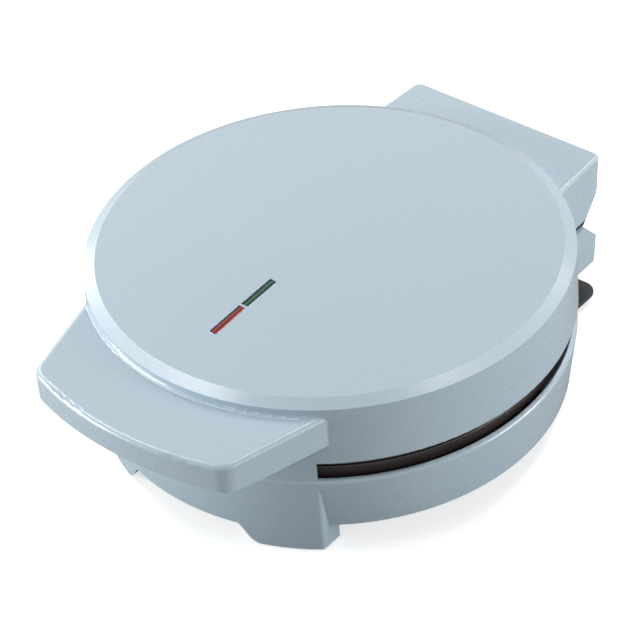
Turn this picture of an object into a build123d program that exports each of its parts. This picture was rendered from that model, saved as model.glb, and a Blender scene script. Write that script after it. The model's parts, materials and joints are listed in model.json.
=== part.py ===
from build123d import *
from math import cos, radians, sin, sqrt, tan
import os

os.makedirs("parts", exist_ok=True)

# Driving dimensions, in millimetres. Reaches are measured from the round body's upright axis.

# Ring cavities of the cooking plates, which set the size of the round body
ring_radius = 18.5
ring_groove = 9.5
ring_wall = 2.5
ring_land = 6.0
ring_count = 6
ring_lip_round = 0.8

# Cooking plates
plate_border = 13.4
plate_thickness = 3.2
plate_skirt = 6.6
plate_skirt_thickness = 2.5
plate_gap = 0.5
plate_clearance = 2.0
plate_edge_round = 0.8

# Round body
wall = 2.4
cut_margin = 1.0
lid_overhang = 0.2
lid_gap = 9.9
lid_draft = 0.5
lid_edge_round = 0.8
wall_rise = 29.3
shoulder_inset = 5.3
shoulder_rise = 2.5
shoulder_round = 3.2
top_edge_round = 12.0
crown_rise = 3.9
bowl_draft = 3.5
rim_round = 2.0
floor_height = 12.0
floor_round = 1.6

# Apron of the lid, which hides the plates under the handle
apron_half_angle = 35.2
apron_gap = 0.5

# Front panel of the base and its legs
panel_half_width = 62.2
panel_top_gap = 0.4
panel_blend = 0.3
panel_drop = 1.7
panel_ledge = 3.0
panel_corner_round = 2.5
leg_bottom = 0.8
leg_inner = 38.6
leg_curve = 14.0
leg_depth = 10.5
rear_leg_inset = 0.6
rear_leg_set_in = 1.4
pad_width = 14.0
pad_depth = 6.0
pad_height = 2.6
pad_clearance = 0.1
pad_round = 1.0

# Handle
handle_length = 33.4
handle_tip_half_width = 53.0
handle_root_half_width = 66.9
handle_root_inset = 24.1
handle_overlap = 20.0
handle_arc_radius = 153.0
handle_drop = 3.8
handle_thickness = 15.0
handle_nose_lift = 3.6
handle_nose_length = 28.0
handle_corner_round = 9.0
handle_edge_round = 2.6
handle_root_round = 1.5
cover_clearance = 0.2
cover_thickness = 2.0
handle_post_inset = 21.4
handle_post_half_pitch = 32.0
handle_post_lift = 0.6

# Hinge
hinge_setback = 9.0
hinge_rise = 1.9
barrel_radius = 7.6
barrel_clearance = 0.5
barrel_shield = 2.0
pin_radius = 2.5
pin_clearance = 0.05
pin_seat_clearance = 0.02
base_knuckle_inner = 30.0
lid_knuckle_inner = 10.0
knuckle_gap = 0.4
knuckle_side_gap = 0.6
web_clearance = 0.3
web_front = 5.0
base_web_back = 2.3
lid_web_back = 4.0
hinge_flange = 3.0
hinge_flange_back = 9.0
hinge_flange_front = 8.2
hinge_flange_rise = 17.0
hinge_flange_border = 1.0
hinge_notch_border = 2.0
hinge_post_half_pitch = 35.0
hinge_post_radius = 4.0

# Rear block, upper half on the lid, with its reaches behind and heights above the hinge line
upper_block_half_width = 52.6
upper_block_draft = 2.9
upper_block_behind = 14.8
upper_block_drop = 7.9
upper_block_lift = 0.9
upper_slope_behind = 1.3
upper_slope_inset = 1.2
upper_slope_rise = 14.0
block_root = 26.0
block_corner_round = 4.0
block_edge_round = 1.8
block_root_round = 2.0

# Rear block, lower half on the base
lower_block_step = 2.7
lower_block_behind = 7.6
lower_block_sink = 1.3
lower_slope_ahead = 2.1
lower_slope_drop = 11.7
lower_block_lift = 4.8
lower_back_draft = 1.6
ledge_post_inset = 6.5
ledge_post_radius = 3.2
ledge_post_gap = 0.1

# Screws
boss_inset = 17.4
boss_count = 3
boss_start_angle = 30
boss_radius = 5.0
screw_radius = 1.9
screw_clearance = 0.15
screw_head_radius = 3.8
screw_head_depth = 1.9
screw_grip = 7.9
small_screw_radius = 1.4
small_screw_head_radius = 2.7
small_screw_head_depth = 1.3
small_screw_grip = 7.0
small_screw_tip_room = 1.0
small_screw_sink_angle = 90
pan_head_height = 1.4
recess_reach = 0.55
recess_width = 0.9
recess_depth = 0.9

# Heating elements and heat reflectors
element_radius = 3.2
element_half_gap = 11.0
element_end_inset = 13.0
element_bend = 8.0
element_pin_radius = 1.3
element_pin_length = 6.0
element_clearance = 0.05
element_rise = 1.6
seat_gap = 0.3
support_width = 8.0
support_depth = 11.0
support_grip = 1.6
reflector_clearance = 3.9
reflector_thickness = 0.6
reflector_wall = 11.0
reflector_notch_side = 5.0
reflector_notch_start = 1.0
reflector_hole_radius = 12.0

# Thermostat and thermal fuse
thermostat_radius = 8.0
thermostat_height = 5.5
thermostat_blade = 4.0
thermostat_half_pitch = 4.0
thermostat_blade_width = 5.0
bracket_width = 10.0
bracket_thickness = 0.8
bracket_boss_reach = 34.0
bracket_boss_radius = 3.0
bracket_drop = 0.3
fuse_radius = 2.2
fuse_length = 12.0
fuse_reach = 45.0
fuse_clearance = 0.05

# Indicator lenses, lamps and their holder
lens_width = 3.6
lens_length = 19.4
lens_spacing = 1.2
green_lens_reach = 46.8
lens_clearance = 0.12
lens_seat_clearance = 0.02
lens_recess = 0.25
lens_flange = 1.6
lens_flange_thickness = 1.2
lens_round = 0.7
lamp_radius = 2.0
lamp_length = 11.0
lamp_clearance = 0.2
holder_width = 13.0
holder_border = 2.0
holder_ear = 2.5
holder_ear_length = 9.0
holder_ear_reach = 4.0
holder_corner_round = 2.0
holder_thickness = 1.6
holder_rib = 3.0
holder_rib_thickness = 1.2
holder_post_radius = 2.8

# Terminal block and wires
terminal_border = 4.0
terminal_depth = 15.0
terminal_height = 7.0
terminal_round = 1.5
terminal_bore = 1.6
terminal_clearance = 0.8
wire_radius = 1.1
wire_bend = 3.0
wire_end_gap = 0.1
wire_insertion = 3.0
wire_climb = 6.0
wire_window_half_width = 8.5
wire_window_height = 6.0
wire_run_out = 2.0
wire_ahead = 4.0
wire_hinge_drop = 2.0
wire_hinge_rise = 3.0
wire_clearance = 0.05
lid_wire_ahead = 2.0
base_wire_half_pitch = 4.0
lamp_wire_half_pitch = 3.0
lid_wire_half_pitch = 6.4
lid_wire_step = 4.0

# Cord wrap plate and cord inlet
wrap_half_width = 60.2
wrap_behind = 2.1
wrap_depth = 33.1
wrap_tongue_half_width = 28.0
wrap_tongue_length = 20.0
wrap_bottom = 3.5
wrap_thickness = 1.4
wrap_corner = 7.0
wrap_post_half_pitch = 20.0
wrap_post_inset = 11.0
wrap_post_radius = 5.0
cord_notch_radius = 4.6
inlet_ahead = 5.0
inlet_radius = 4.0
bushing_collar = 1.8
bushing_flange = 1.2
bushing_lip = 0.8
bushing_bore = 2.9
bushing_clearance = 0.1

# Radii and reaches worked out from the driving dimensions
ring_pitch = 2 * (ring_radius + ring_groove) + ring_land
plate_radius = ring_pitch + ring_radius + ring_groove + plate_border
rim_radius = plate_radius + plate_clearance + wall
lid_radius = rim_radius + lid_overhang
shoulder_radius = lid_radius - lid_draft
top_radius = shoulder_radius - shoulder_inset
floor_radius = rim_radius - bowl_draft
handle_front = lid_radius + handle_length
handle_root = lid_radius - handle_root_inset
handle_post_reach = handle_front - handle_post_inset
hinge_reach = lid_radius + hinge_setback
upper_block_back = hinge_reach + upper_block_behind
upper_slope_start = hinge_reach + upper_slope_behind
lower_block_back = hinge_reach + lower_block_behind
lower_slope_start = hinge_reach - lower_slope_ahead
upper_cavity_back = upper_block_back - wall
lower_cavity_back = lower_block_back - lower_back_draft - wall
body_y = (handle_front - upper_block_back) / 2

# Heights worked out from the base's floor up
floor_top = floor_height + wall
reflector_bottom = floor_top + terminal_height + pan_head_height + terminal_clearance
plate_boss_bottom = reflector_bottom + reflector_thickness
plate_boss_drop = ring_groove + ring_wall + seat_gap + 2 * element_radius + element_rise
plate_face = plate_boss_bottom + plate_boss_drop
parting_height = plate_face + plate_gap / 2
rim_height = parting_height - lid_gap / 2
lid_rim = rim_height + lid_gap
shoulder_height = lid_rim + wall_rise
top_edge_height = shoulder_height + shoulder_rise
crown_height = top_edge_height + crown_rise
ring_bottom = plate_face - ring_groove - ring_wall
lid_boss_bottom = 2 * parting_height - reflector_bottom
element_height = ring_bottom - seat_gap - element_radius
bracket_bottom = ring_bottom - bracket_drop - bracket_thickness
thermostat_bottom = bracket_bottom - thermostat_height
handle_top = shoulder_height - handle_drop
handle_bottom = handle_top - handle_thickness
panel_bottom = floor_height - panel_drop
panel_top_drop = rim_round + panel_top_gap
panel_top = rim_height - panel_top_drop

# Places in the rear block
hinge_height = rim_height + hinge_rise
upper_block_bottom = hinge_height + upper_block_lift
upper_block_top = shoulder_height - upper_block_drop
upper_slope_top = hinge_height + upper_slope_rise
block_roof = upper_block_top - wall
lower_block_top = hinge_height - lower_block_sink
lower_slope_bottom = hinge_height - lower_slope_drop
lower_block_bottom = floor_height + lower_block_lift
block_floor_top = lower_block_bottom + wall
hinge_flange_height = hinge_height + hinge_flange_rise
barrel_room = barrel_radius + barrel_clearance
shield_radius = barrel_room + barrel_shield
lower_block_half_width = upper_block_half_width + lower_block_step
upper_cavity_half_width = upper_block_half_width - wall
lower_cavity_half_width = lower_block_half_width - wall
base_knuckle_outer = upper_cavity_half_width - knuckle_side_gap
lid_knuckle_outer = base_knuckle_inner - knuckle_gap
base_knuckle_middle = (base_knuckle_inner + base_knuckle_outer) / 2
lid_knuckle_middle = (lid_knuckle_inner + lid_knuckle_outer) / 2
base_web_middle = hinge_reach + (base_web_back - web_front) / 2
lid_web_middle = hinge_reach + (lid_web_back - web_front) / 2
base_web_depth = base_web_back + web_front
lid_web_depth = lid_web_back + web_front
hinge_flange_half_width = hinge_post_half_pitch + hinge_post_radius + hinge_flange_border
ledge_post_half_pitch = upper_cavity_half_width - ledge_post_inset
ledge_post_reach = hinge_reach - shield_radius - ledge_post_radius - ledge_post_gap

# Screws, reflectors, elements and terminals
boss_pitch = plate_radius - boss_inset
plate_screw_length = plate_boss_drop + screw_grip
small_screw_length = cover_thickness + small_screw_grip
reflector_radius = plate_radius - plate_skirt_thickness - reflector_clearance
reflector_notch_half_width = element_half_gap + reflector_notch_side
element_end = reflector_radius - element_end_inset
terminal_front = element_end - terminal_depth / 2
terminal_back = element_end + terminal_depth / 2
terminal_half_width = element_half_gap + terminal_border
wire_height = floor_top + terminal_height / 2
pin_end = element_end + element_pin_length
wire_turn = pin_end + 2 * wire_bend
upper_element_height = 2 * parting_height - element_height

# Legs of the base and their pads
panel_radius = rim_radius - bowl_draft * (panel_top_drop + panel_blend) / (rim_height - floor_height)
leg_back = sqrt(panel_radius**2 - panel_half_width**2) - leg_depth
rear_leg_back = sqrt(floor_radius**2 - panel_half_width**2)
rear_leg_front = rear_leg_back - leg_depth - rear_leg_set_in
leg_middle = (leg_inner + panel_half_width) / 2
leg_reaches = (-leg_back - leg_depth / 2, rear_leg_front + leg_depth / 2)
leg_points = [(x, reach) for reach in leg_reaches for x in (-leg_middle, leg_middle)]

# Cord wrap plate and inlet
wrap_back = hinge_reach + wrap_behind
wrap_front = wrap_back - wrap_depth
wrap_tongue_front = wrap_front - wrap_tongue_length
wrap_post_reach = wrap_tongue_front + wrap_post_inset
inlet_reach = hinge_reach - inlet_ahead

# Lenses, lamps and their holder
lens_pitch = lens_length + lens_spacing
lens_reaches = {"ready_lens": green_lens_reach, "power_lens": green_lens_reach + lens_pitch}
lamp_middle = green_lens_reach + lens_pitch / 2
lens_far_end = green_lens_reach + lens_pitch + lens_length / 2
lens_foot = crown_height - crown_rise * (lens_far_end / top_radius) ** 2 - wall - lens_flange_thickness
lamp_height = lens_foot - lamp_clearance - lamp_radius
holder_top = lamp_height - lamp_radius
holder_bottom = holder_top - holder_thickness
holder_length = lens_pitch + lens_length + 2 * holder_border
holder_post_half_pitch = holder_width / 2 + holder_ear_reach
holder_ear_width = 2 * (holder_post_half_pitch + holder_ear)
lamp_wire_height = holder_bottom - wire_radius - wire_clearance

body_axis = Axis((0, body_y, 0), (0, 0, 1))
front = Plane(origin=(0, body_y, 0), x_dir=(1, 0, 0), z_dir=(0, -1, 0))
side = Plane(origin=(0, body_y, 0), x_dir=(0, 1, 0), z_dir=(1, 0, 0))
hinge_line = Plane(origin=(0, body_y + hinge_reach, hinge_height), x_dir=(0, 1, 0), z_dir=(1, 0, 0))
plate_mirror = Plane.XY.offset(parting_height)

boss_angles = [radians(boss_start_angle + 360 / boss_count * i) for i in range(boss_count)]
boss_points = [(boss_pitch * cos(a), boss_pitch * sin(a)) for a in boss_angles]
ring_angles = [radians(360 / ring_count * i) for i in range(ring_count)]
ring_points = [(0, 0)] + [(ring_pitch * cos(a), ring_pitch * sin(a)) for a in ring_angles]
handle_post_points = [(x, -handle_post_reach) for x in (-handle_post_half_pitch, handle_post_half_pitch)]
ledge_post_points = [(x, ledge_post_reach) for x in (-ledge_post_half_pitch, ledge_post_half_pitch)]
hinge_post_points = [(x, hinge_reach) for x in (-hinge_post_half_pitch, hinge_post_half_pitch)]
wrap_post_points = [(x, wrap_post_reach) for x in (-wrap_post_half_pitch, wrap_post_half_pitch)]
holder_post_points = [(x, -lamp_middle) for x in (-holder_post_half_pitch, holder_post_half_pitch)]
bracket_points = [(0, -bracket_boss_reach), (0, bracket_boss_reach)]
base_web_points = [(x, base_web_middle) for x in (-base_knuckle_middle, base_knuckle_middle)]
lid_web_points = [(x, lid_web_middle) for x in (-lid_knuckle_middle, lid_knuckle_middle)]


def facing_back(x, reach, height):
    """Upright plane that faces the rear, with its origin at a point."""
    return Plane(origin=(x, body_y + reach, height), x_dir=(1, 0, 0), z_dir=(0, 1, 0))


def level(height):
    """Horizontal plane at a height, centred on the round body's axis."""
    return Plane((0, body_y, height))


def spots(points, height, upside_down=False):
    """Locations at plan points and one height, facing up or down."""
    turn = 180 if upside_down else 0
    return [Location((x, body_y + y, height), (turn, 0, 0)) for x, y in points]


def finish(part, name):
    """Label a finished piece and write it."""
    part.label = name
    export_step(part, f"parts/{name}.step")


def countersunk_screw(radius, head_radius, head_depth, length):
    """Screw with a flat cross-recessed head, pointing down from where it is placed."""
    Cone(radius, head_radius, head_depth, align=(Align.CENTER, Align.CENTER, Align.MAX))
    Cylinder(radius, length, align=(Align.CENTER, Align.CENTER, Align.MAX))
    slot = 2 * recess_reach * head_radius
    for size in ((slot, recess_width), (recess_width, slot)):
        Box(*size, recess_depth, align=(Align.CENTER, Align.CENTER, Align.MAX), mode=Mode.SUBTRACT)


def pan_screw(length):
    """Small screw with a pan head that stands above where it is placed."""
    Cylinder(small_screw_head_radius, pan_head_height, align=(Align.CENTER, Align.CENTER, Align.MIN))
    Cylinder(small_screw_radius, length, align=(Align.CENTER, Align.CENTER, Align.MAX))


def small_screw():
    """Small screw for covers and brackets."""
    countersunk_screw(
        small_screw_radius, small_screw_head_radius, small_screw_head_depth, small_screw_length
    )


def small_screw_hole(depth):
    """Countersunk clearance hole for a small screw."""
    CounterSinkHole(
        small_screw_radius + screw_clearance,
        small_screw_head_radius + screw_clearance,
        depth=depth,
        counter_sink_angle=small_screw_sink_angle,
    )


def pilot_hole(radius, depth):
    """Blind hole down from where it is placed."""
    Cylinder(radius, depth, align=(Align.CENTER, Align.CENTER, Align.MAX), mode=Mode.SUBTRACT)


def front_band(radius, half_width, thickness):
    """Plan of a curved band across the front, from its outer radius in by its thickness."""
    with Locations((0, -radius)):
        Rectangle(2 * half_width, 2 * radius)
    Circle(radius, mode=Mode.INTERSECT)
    Circle(radius - thickness, mode=Mode.SUBTRACT)


def dome_section(inset, foot):
    """Half section of the round lid, drawn in by inset from its outer skin."""
    with BuildLine() as outline:
        crown = TangentArc(
            (0, crown_height - inset), (top_radius - inset, top_edge_height - inset), tangent=(1, 0)
        )
        Polyline(
            crown @ 1,
            (shoulder_radius - inset, shoulder_height - inset),
            (lid_radius - inset, foot),
            (0, foot),
            (0, crown_height - inset),
        )
    return make_face(outline.edges())


def lid_section():
    """Half section of the lid's outer skin, with its rounded rim, shoulder and top edge."""
    corners = dome_section(0, lid_rim).vertices()
    fillet(corners.sort_by_distance((lid_radius, lid_rim))[:1], lid_edge_round)
    fillet(corners.sort_by_distance((shoulder_radius, shoulder_height))[:1], shoulder_round)
    fillet(corners.sort_by_distance((top_radius, top_edge_height))[:1], top_edge_round)


def wall_radius(height):
    """Radius of the lid's drafted wall at a height."""
    return lid_radius - lid_draft * (height - lid_rim) / wall_rise


def bowl_section(inset, foot, top):
    """Half section of the round bowl of the base, drawn in by inset from its outer skin."""
    with BuildLine() as outline:
        Polyline(
            (0, foot), (floor_radius - inset, foot), (rim_radius - inset, top), (0, top), close=True
        )
    return make_face(outline.edges())


def outer_bowl_section():
    """Half section of the bowl's outer skin, with its rounded lip and foot."""
    corners = bowl_section(0, floor_height, rim_height).vertices()
    fillet(corners.sort_by_distance((rim_radius, rim_height))[:1], rim_round)
    fillet(corners.sort_by_distance((floor_radius, floor_height))[:1], floor_round)


def handle_section(lift, top):
    """Handle from the side, from its curved underside raised by lift up to a top height."""
    root = handle_overlap - handle_root
    tip = -handle_front - wall
    with BuildLine() as outline:
        under = Line((root, handle_bottom + lift), (-handle_front + handle_nose_length, handle_bottom + lift))
        nose = TangentArc(
            under @ 1, (tip, handle_bottom + handle_nose_lift + lift), tangent=under % 1
        )
        Polyline(nose @ 1, (tip, top), (root, top), under @ 0)
    make_face(outline.edges())


def handle_outline(inset):
    """Plan of the handle, whose front is an arc, drawn in by inset."""
    arc_centre = handle_arc_radius - handle_front
    corner = sqrt(handle_arc_radius**2 - handle_tip_half_width**2) - arc_centre
    with BuildLine() as outline:
        ThreePointArc(
            (-handle_tip_half_width, -corner), (0, -handle_front), (handle_tip_half_width, -corner)
        )
        Polyline(
            (handle_tip_half_width, -corner),
            (handle_root_half_width, -handle_root),
            (handle_root_half_width, handle_overlap - handle_root),
            (-handle_root_half_width, handle_overlap - handle_root),
            (-handle_root_half_width, -handle_root),
            (-handle_tip_half_width, -corner),
        )
    face = make_face(outline.edges())
    fillet(face.vertices().group_by(Axis.Y)[0], handle_corner_round)
    if inset:
        offset(amount=-inset, mode=Mode.REPLACE)


def upper_block_section():
    """Side profile of the upper half of the rear block."""
    with BuildLine() as outline:
        Polyline(
            (lid_radius - block_root, upper_block_bottom),
            (lid_radius - block_root, upper_block_top),
            (upper_block_back, upper_block_top),
            (upper_block_back - upper_slope_inset, upper_slope_top),
            (upper_slope_start, upper_block_bottom),
            close=True,
        )
    make_face(outline.edges())


def upper_block_outline():
    """Plan of the upper half of the rear block, which narrows towards its rear."""
    root = lid_radius - block_root
    root_half_width = upper_block_half_width + (upper_block_back - root) * tan(radians(upper_block_draft))
    with BuildLine() as outline:
        Polyline(
            (-root_half_width, root),
            (-upper_block_half_width, upper_block_back),
            (upper_block_half_width, upper_block_back),
            (root_half_width, root),
            close=True,
        )
    make_face(outline.edges())


def lower_block_section():
    """Side profile of the lower half of the rear block."""
    with BuildLine() as outline:
        Polyline(
            (rim_radius - block_root, lower_block_top),
            (lower_slope_start, lower_block_top),
            (lower_block_back, lower_slope_bottom),
            (lower_block_back - lower_back_draft, lower_block_bottom),
            (rim_radius - block_root, lower_block_bottom),
            close=True,
        )
    make_face(outline.edges())


def leg_section():
    """Front view of one leg, with the curve that runs up to the floor on its inner side."""
    rise = floor_height + wall
    with BuildLine() as outline:
        curve = Bezier(
            (leg_inner, leg_bottom),
            (leg_inner - leg_curve / 2, leg_bottom),
            (leg_inner - leg_curve / 2, floor_height),
            (leg_inner - leg_curve, floor_height),
        )
        Polyline(
            curve @ 1,
            (leg_inner - leg_curve, rise),
            (panel_half_width, rise),
            (panel_half_width, leg_bottom),
            curve @ 0,
        )
    make_face(outline.edges())


def flat_edges(part, height):
    """Edges of a part that lie level at a height."""
    boxes = [(edge, edge.bounding_box()) for edge in part.edges()]
    return [edge for edge, box in boxes if box.size.Z < 0.01 and abs(box.min.Z - height) < 0.01]


def on_wall(edge):
    """Whether an edge is an arc on the lid's round wall."""
    return edge.geom_type == GeomType.CIRCLE and shoulder_radius <= edge.radius <= lid_radius


# Handle as a full form, before it is hollowed
with BuildPart() as handle_form:
    with BuildSketch(level(handle_top)):
        handle_outline(0)
    extrude(amount=-handle_thickness - handle_nose_lift)
    with BuildSketch(side):
        handle_section(0, handle_top)
    extrude(amount=handle_root_half_width + wall, both=True, mode=Mode.INTERSECT)

# Hollow of the handle, open below and bounded by the lid's wall
with BuildPart() as handle_hollow:
    with BuildSketch(level(handle_bottom - cut_margin)):
        handle_outline(wall)
    extrude(amount=handle_thickness - wall + cut_margin)
    with BuildSketch(front):
        lid_section()
    revolve(axis=body_axis, mode=Mode.SUBTRACT)

# Upper half of the rear block as a full form
with BuildPart() as upper_block_form:
    with BuildSketch(side):
        upper_block_section()
    extrude(amount=lid_radius, both=True)
    with BuildSketch(level(0)):
        upper_block_outline()
    extrude(amount=crown_height, mode=Mode.INTERSECT)
    back_corners = upper_block_form.edges().filter_by(
        lambda e: e.center().Z > upper_slope_top and e.center().Y > body_y + upper_cavity_back
        and abs(e.center().X) > upper_cavity_half_width)
    fillet(back_corners.filter_by(lambda e: e.length < upper_block_half_width
                                  and e.bounding_box().size.Z > block_edge_round), block_corner_round)
    fillet(upper_block_form.faces().sort_by(Axis.Z)[-1].edges().filter_by(
        lambda e: e.center().Y > body_y + lid_radius - block_root + wall), block_edge_round)

# Apron under the handle: the lid's front wall carried down to the base's rim
with BuildPart() as apron_form:
    apron_foot = rim_height + apron_gap
    apron_head = lid_rim + wall
    with BuildSketch(front):
        with BuildLine() as apron_outline:
            Polyline(
                (lid_radius - 2 * wall, apron_foot),
                (wall_radius(apron_foot), apron_foot),
                (wall_radius(apron_head), apron_head),
                (lid_radius - 2 * wall, apron_head),
                close=True,
            )
        make_face(apron_outline.edges())
    revolve(axis=body_axis)
    with BuildSketch(level(apron_foot)):
        with BuildLine() as apron_wedge:
            Polyline(
                (0, 0),
                (-2 * lid_radius * sin(radians(apron_half_angle)), -2 * lid_radius * cos(radians(apron_half_angle))),
                (2 * lid_radius * sin(radians(apron_half_angle)), -2 * lid_radius * cos(radians(apron_half_angle))),
                close=True,
            )
        make_face(apron_wedge.edges())
    extrude(amount=apron_head - apron_foot, mode=Mode.INTERSECT)

# Lid shell: dome, handle, apron and the upper half of the rear block
with BuildPart() as lid_shell:
    with BuildSketch(front):
        lid_section()
    revolve(axis=body_axis)
    add(apron_form.part)
    add(handle_form.part)
    add(upper_block_form.part)
    handle_edges = [edge for edge in flat_edges(lid_shell, handle_top) if edge.center().Y < body_y]
    fillet([edge for edge in handle_edges if not on_wall(edge)], handle_edge_round)
    handle_edges = [edge for edge in flat_edges(lid_shell, handle_top) if edge.center().Y < body_y]
    fillet([edge for edge in handle_edges if on_wall(edge)], handle_root_round)
    block_edges = [edge for edge in flat_edges(lid_shell, upper_block_top) if edge.center().Y > body_y]
    fillet([edge for edge in block_edges if on_wall(edge)], block_root_round)
    with BuildSketch(front):
        dome_section(wall, rim_height)
    revolve(axis=body_axis, mode=Mode.SUBTRACT)
    add(handle_hollow.part, mode=Mode.SUBTRACT)
    with BuildSketch(level(upper_block_bottom - cut_margin)):
        with Locations((0, upper_cavity_back / 2)):
            Rectangle(2 * upper_cavity_half_width, upper_cavity_back)
        Circle(lid_radius, mode=Mode.SUBTRACT)
    extrude(amount=block_roof - upper_block_bottom + cut_margin, mode=Mode.SUBTRACT)
    with Locations((0, body_y + lid_radius, upper_element_height)):
        Box(2 * wire_window_half_width, 4 * wall, wire_window_height, mode=Mode.SUBTRACT)
    with BuildSketch(level(lid_boss_bottom)):
        with Locations(*boss_points):
            Circle(boss_radius)
    extrude(amount=top_edge_height - wall / 2 - lid_boss_bottom)
    with BuildSketch(level(handle_bottom + cover_thickness + handle_post_lift)):
        with Locations(*handle_post_points):
            Circle(ledge_post_radius)
    extrude(amount=handle_top - wall / 2 - handle_bottom - cover_thickness - handle_post_lift)
    with BuildSketch(level(upper_block_bottom + cover_thickness)):
        with Locations(*ledge_post_points):
            Circle(ledge_post_radius)
    extrude(amount=block_roof + wall / 2 - upper_block_bottom - cover_thickness)
    with BuildSketch(level(hinge_flange_height)):
        with Locations(*hinge_post_points):
            Circle(hinge_post_radius)
    extrude(amount=block_roof + wall / 2 - hinge_flange_height)
    with BuildSketch(level(holder_top)):
        with Locations(*holder_post_points):
            Circle(holder_post_radius)
    extrude(amount=crown_height - wall - holder_top)
    with Locations(*spots(boss_points, lid_boss_bottom, True)):
        pilot_hole(screw_radius + screw_clearance, screw_grip + small_screw_tip_room)
    with Locations(*spots(handle_post_points, handle_bottom, True)):
        pilot_hole(small_screw_radius + screw_clearance, small_screw_length + small_screw_tip_room)
    with Locations(*spots(ledge_post_points, upper_block_bottom, True)):
        pilot_hole(small_screw_radius + screw_clearance, small_screw_length + small_screw_tip_room)
    with Locations(*spots(hinge_post_points, hinge_flange_height, True)):
        pilot_hole(small_screw_radius + screw_clearance,
                   small_screw_length - hinge_flange + small_screw_tip_room)
    with Locations(*spots(holder_post_points, holder_top, True)):
        pilot_hole(small_screw_radius + screw_clearance, crown_height - 1.5 * wall - holder_top)
    with BuildSketch(level(lens_foot)):
        with Locations(*[(0, -reach) for reach in lens_reaches.values()]):
            RectangleRounded(lens_width + 2 * lens_clearance, lens_length + 2 * lens_clearance,
                             lens_round + lens_clearance)
    extrude(amount=crown_height - lens_foot, mode=Mode.SUBTRACT)

finish(lid_shell.part, "lid_shell")

# Cover that closes the handle from below
with BuildPart() as handle_cover:
    with BuildSketch(level(handle_bottom - cut_margin)):
        handle_outline(wall + cover_clearance)
        Circle(lid_radius + cover_clearance, mode=Mode.SUBTRACT)
    extrude(amount=handle_thickness)
    with BuildSketch(side):
        handle_section(0, handle_top)
    extrude(amount=handle_root_half_width, both=True, mode=Mode.INTERSECT)
    with BuildSketch(side):
        handle_section(cover_thickness, handle_top + cut_margin)
    extrude(amount=handle_root_half_width, both=True, mode=Mode.SUBTRACT)
    with Locations(*spots(handle_post_points, handle_bottom, True)):
        small_screw_hole(2 * cover_thickness)

finish(handle_cover.part, "handle_cover")

with BuildPart() as handle_cover_screws:
    with Locations(*spots(handle_post_points, handle_bottom, True)):
        small_screw()

finish(handle_cover_screws.part, "handle_cover_screws")

# Indicator lenses, each pushed up through its slot until its flange stops under the lid's skin
for lens_name, lens_reach in lens_reaches.items():
    with BuildPart() as lens:
        with BuildSketch(level(lens_foot)):
            with Locations((0, -lens_reach)):
                Rectangle(lens_width + 2 * lens_flange, lens_length)
        extrude(amount=crown_height - lens_foot)
        with BuildSketch(front):
            dome_section(wall + lens_seat_clearance, lid_rim)
        revolve(axis=body_axis, mode=Mode.INTERSECT)
        with BuildPart(mode=Mode.PRIVATE) as stem:
            with BuildSketch(level(lens_foot)):
                with Locations((0, -lens_reach)):
                    RectangleRounded(lens_width, lens_length, lens_round)
            extrude(amount=crown_height - lens_foot)
            with BuildSketch(front):
                dome_section(lens_recess, lid_rim)
            revolve(axis=body_axis, mode=Mode.INTERSECT)
        add(stem.part)
    finish(lens.part, lens_name)

# Lamp holder under the lenses, with ribs that cradle the lamps
with BuildPart() as lamp_holder:
    with BuildSketch(level(holder_bottom)):
        with Locations((0, -lamp_middle)):
            RectangleRounded(holder_width, holder_length, holder_corner_round)
            RectangleRounded(holder_ear_width, holder_ear_length, holder_corner_round)
    extrude(amount=holder_thickness)
    rib_middle = lamp_radius + lamp_clearance + holder_rib_thickness / 2
    with BuildSketch(level(holder_top)):
        with Locations(*[(x, -reach) for x in (-rib_middle, rib_middle) for reach in lens_reaches.values()]):
            Rectangle(holder_rib_thickness, lamp_length)
    extrude(amount=holder_rib)
    with Locations(*spots(holder_post_points, holder_bottom, True)):
        small_screw_hole(2 * holder_thickness)

finish(lamp_holder.part, "lamp_holder")

with BuildPart() as lamp_holder_screws:
    with Locations(*spots(holder_post_points, holder_bottom, True)):
        countersunk_screw(small_screw_radius, small_screw_head_radius, small_screw_head_depth,
                          crown_height - 2 * wall - holder_bottom)

finish(lamp_holder_screws.part, "lamp_holder_screws")

with BuildPart() as indicator_lamps:
    for lamp_reach in lens_reaches.values():
        with BuildSketch(facing_back(0, -lamp_reach - lamp_length / 2, lamp_height)):
            Circle(lamp_radius)
        extrude(amount=lamp_length)

finish(indicator_lamps.part, "indicator_lamps")

# Front of the base: the upright panel under the apron with its two legs
with BuildPart() as front_form:
    with BuildSketch(front.offset(leg_back)):
        leg_section()
        mirror(about=Plane.YZ)
    extrude(amount=panel_radius - leg_back)
    with BuildSketch(Plane((0, body_y, 0))):
        Circle(panel_radius)
    extrude(amount=rim_height, mode=Mode.INTERSECT)
    with BuildSketch(level(panel_bottom)):
        front_band(panel_radius, panel_half_width, panel_radius - floor_radius + wall)
    extrude(amount=panel_top - panel_bottom)
    corner_edges = [edge for edge in front_form.edges().filter_by(Axis.Z)
                    if abs(abs(edge.center().X) - panel_half_width) < 0.01
                    and edge.center().Y < body_y - leg_back - leg_depth / 2]
    fillet(corner_edges, panel_corner_round)

# Base housing: bowl, front, rear legs and the lower half of the rear block
with BuildPart() as rear_legs_form:
    with BuildSketch(front.offset(-rear_leg_back)):
        leg_section()
        mirror(about=Plane.YZ)
    extrude(amount=rear_leg_back - rear_leg_front)
    with BuildSketch(Plane((0, body_y, 0))):
        Circle(floor_radius - rear_leg_inset)
    extrude(amount=rim_height, mode=Mode.INTERSECT)

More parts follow.
